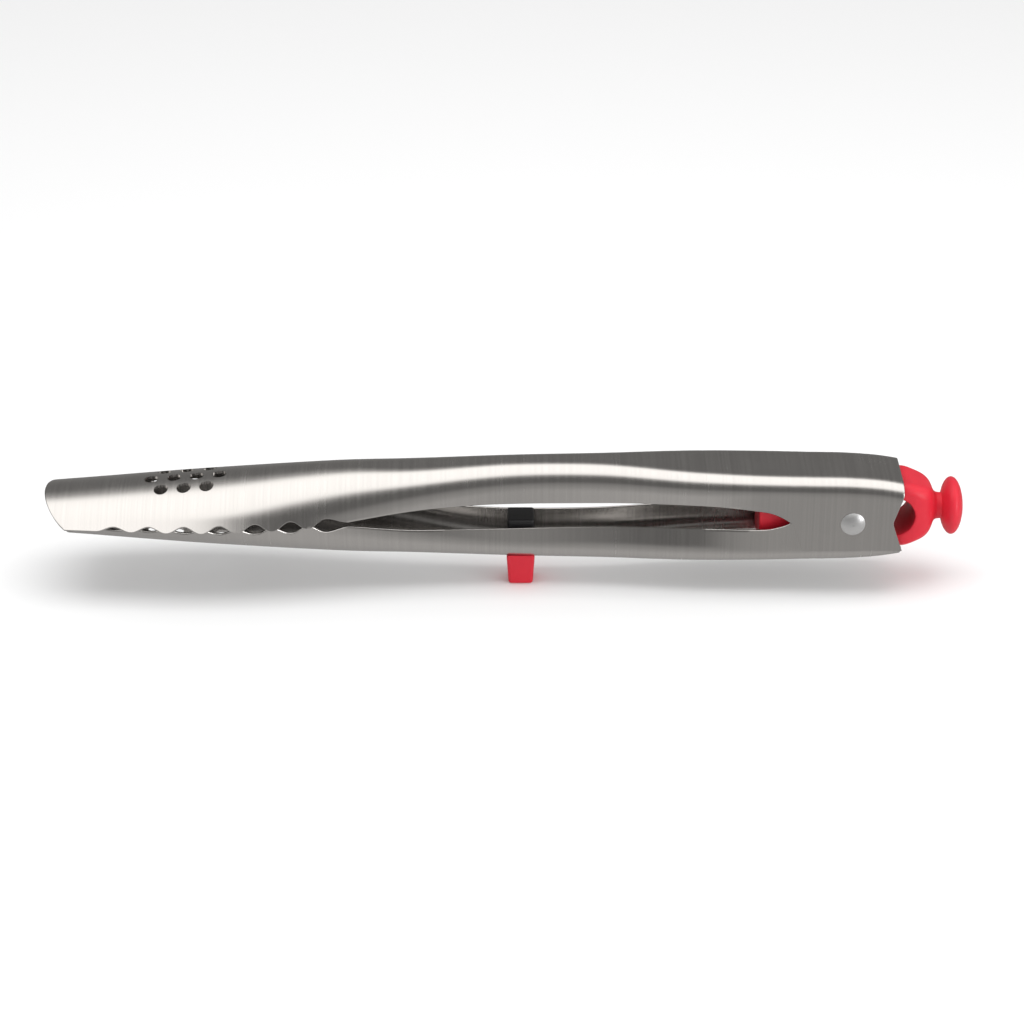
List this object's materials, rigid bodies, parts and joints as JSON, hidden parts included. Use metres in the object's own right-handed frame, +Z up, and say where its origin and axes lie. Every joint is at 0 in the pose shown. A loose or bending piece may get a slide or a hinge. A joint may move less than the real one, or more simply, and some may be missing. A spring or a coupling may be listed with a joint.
{
  "type": "spring loaded kitchen tongs",
  "caption": "Locking kitchen tongs: two stamped steel arms with scalloped, drained jaws on a rivet, with a torsion spring, a pull lock slider and a soft rest foot.",
  "frame": {"origin": "middle of the foot's sole, on the surface that the closed tongs stand on", "axes": "+X from the jaws to the pull knob, +Y across the arms, +Z up"},
  "size_m": [0.305, 0.042, 0.0452],
  "materials": {
    "arm_steel": "satin stainless sheet, fine brushing across the jaw",
    "rivet_steel": "polished domed rivet",
    "spring_steel": "drawn stainless wire",
    "lock_red": "satin red, soft to the touch",
    "foot_red": "satin red silicone",
    "anchor_black": "matte black nylon"
  },
  "bodies": {
    "lower_arm": {"lower_arm": "arm_steel", "foot": "foot_red", "foot_anchor": "anchor_black", "rivet_post": "rivet_steel", "rivet_pin": "rivet_steel"},
    "spring_core": {"spring_bush": "rivet_steel", "torsion_spring": "spring_steel"},
    "upper_arm": {"upper_arm": "arm_steel"},
    "lock_slider": {"lock_slider": "lock_red"}
  },
  "joints": [
    {"name": "arm_opening", "type": "hinge", "parent": "lower_arm", "child": "spring_core", "pos_m": [0.1096, 0, 0.0275], "axis": [0, 1, 0], "range_deg": [0, 12], "deforming": ["torsion_spring"]},
    {"name": "upper_arm_opening", "type": "hinge", "parent": "spring_core", "child": "upper_arm", "pos_m": [0.1096, 0, 0.0275], "axis": [0, 1, 0], "range_deg": [0, 12]},
    {"name": "lock_travel", "type": "slide", "parent": "spring_core", "child": "lock_slider", "axis": [1, 0, 0], "range_m": [-0.0101, 0]}
  ],
  "couplings": [
    {"joint": "upper_arm_opening", "follows": "arm_opening", "ratio": 1},
    {"joint": "lock_travel", "follows": "arm_opening", "m_per_rad": -0.0477}
  ]
}
